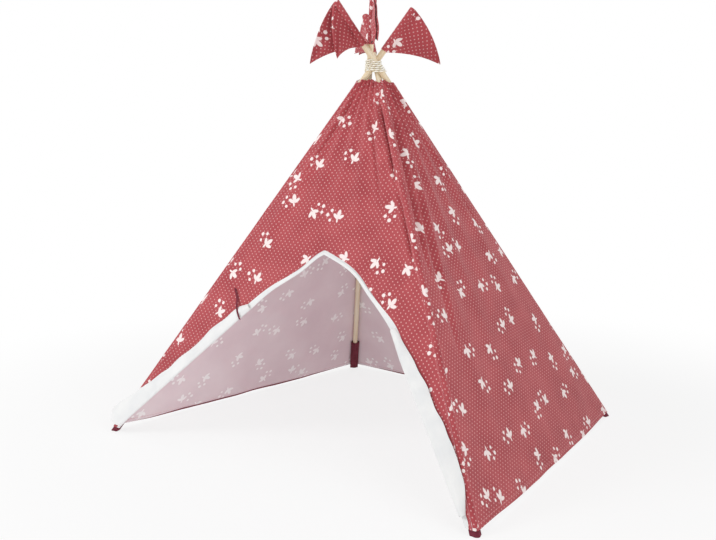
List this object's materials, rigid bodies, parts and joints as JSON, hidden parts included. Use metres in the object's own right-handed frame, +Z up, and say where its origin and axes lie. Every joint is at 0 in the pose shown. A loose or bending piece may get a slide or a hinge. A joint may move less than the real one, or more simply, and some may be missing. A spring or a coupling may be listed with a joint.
{
  "type": "play teepee",
  "caption": "Children's play teepee: lashed wooden poles in pockets under a printed cotton cover, with a tied-back door and a cloth pennant on each pole top.",
  "frame": {"origin": "on the floor, midway between the feet left to right and front to back", "axes": "+Z up, the door faces -Y, +X is the right side seen from the door"},
  "size_m": [1.5118, 1.2389, 1.4963],
  "materials": {
    "pine": "sanded bare",
    "printed_cotton": "printed cotton canvas",
    "lining_cotton": "plain white cotton",
    "maroon_cotton": "dyed cotton",
    "cotton_rope": "twisted natural cotton",
    "steel": "rolled tube"
  },
  "bodies": {
    "left_side": {"pole_front_left_lower": "pine", "pole_front_left_upper": "pine", "ferrule_front_left": "steel", "pocket_front_left": "maroon_cotton", "cover_corner_front_left": "printed_cotton", "pole_rear_left_lower": "pine", "pole_rear_left_upper": "pine", "ferrule_rear_left": "steel", "pocket_rear_left": "maroon_cotton", "cover_corner_rear_left": "printed_cotton", "side_panel_left": "printed_cotton", "back_panel_left": "printed_cotton", "front_panel_left": "printed_cotton", "door_hem_left": "lining_cotton", "door_tie_left": "maroon_cotton", "lashing_rope": "cotton_rope", "lashing_knot": "cotton_rope"},
    "right_side": {"pole_front_right_lower": "pine", "pole_front_right_upper": "pine", "ferrule_front_right": "steel", "pocket_front_right": "maroon_cotton", "cover_corner_front_right": "printed_cotton", "pole_rear_right_lower": "pine", "pole_rear_right_upper": "pine", "ferrule_rear_right": "steel", "pocket_rear_right": "maroon_cotton", "cover_corner_rear_right": "printed_cotton", "side_panel_right": "printed_cotton", "back_panel_right": "printed_cotton", "front_panel_right": "printed_cotton", "door_hem_right": "lining_cotton", "door_tie_right": "maroon_cotton"},
    "door_flap_left": {"door_flap_left": "lining_cotton"},
    "door_flap_right": {"door_flap_right": "lining_cotton"},
    "flag_front_left": {"flag_front_left": "printed_cotton"},
    "flag_front_right": {"flag_front_right": "printed_cotton"},
    "flag_rear_right": {"flag_rear_right": "printed_cotton"},
    "flag_rear_left": {"flag_rear_left": "printed_cotton"}
  },
  "joints": [
    {"name": "fold", "type": "hinge", "parent": "left_side", "child": "right_side", "pos_m": [0, -0.072, 1.278], "axis": [0, 0.9733, -0.2294], "range_deg": [0, 53], "deforming": ["front_panel_left", "front_panel_right", "back_panel_left", "back_panel_right", "door_hem_left", "door_hem_right", "door_tie_left", "door_tie_right", "door_flap_left", "door_flap_right", "lashing_rope", "lashing_knot", "flag_front_left", "flag_front_right", "flag_rear_right", "flag_rear_left"]},
    {"name": "door_flap_left_turn", "type": "hinge", "parent": "left_side", "child": "door_flap_left", "pos_m": [-0.68259, -0.60301, 0.05204], "axis": [-0.6862, -0.2844, -0.6695], "range_deg": [-150, 0]},
    {"name": "door_flap_right_turn", "type": "hinge", "parent": "right_side", "child": "door_flap_right", "pos_m": [0.68811, -0.60301, 0.05204], "axis": [-0.6153, 0.3083, 0.7255], "range_deg": [-150, 0]},
    {"name": "flag_front_left_lift", "type": "slide", "parent": "left_side", "child": "flag_front_left", "axis": [0.4719, 0.3442, 0.8117], "range_m": [0, 0.18]},
    {"name": "flag_front_right_lift", "type": "slide", "parent": "right_side", "child": "flag_front_right", "axis": [-0.4709, 0.3565, 0.807], "range_m": [0, 0.18]},
    {"name": "flag_rear_right_lift", "type": "slide", "parent": "right_side", "child": "flag_rear_right", "axis": [-0.3637, -0.4384, 0.8219], "range_m": [0, 0.18]},
    {"name": "flag_rear_left_lift", "type": "slide", "parent": "left_side", "child": "flag_rear_left", "axis": [0.3676, -0.426, 0.8267], "range_m": [0, 0.18]}
  ]
}
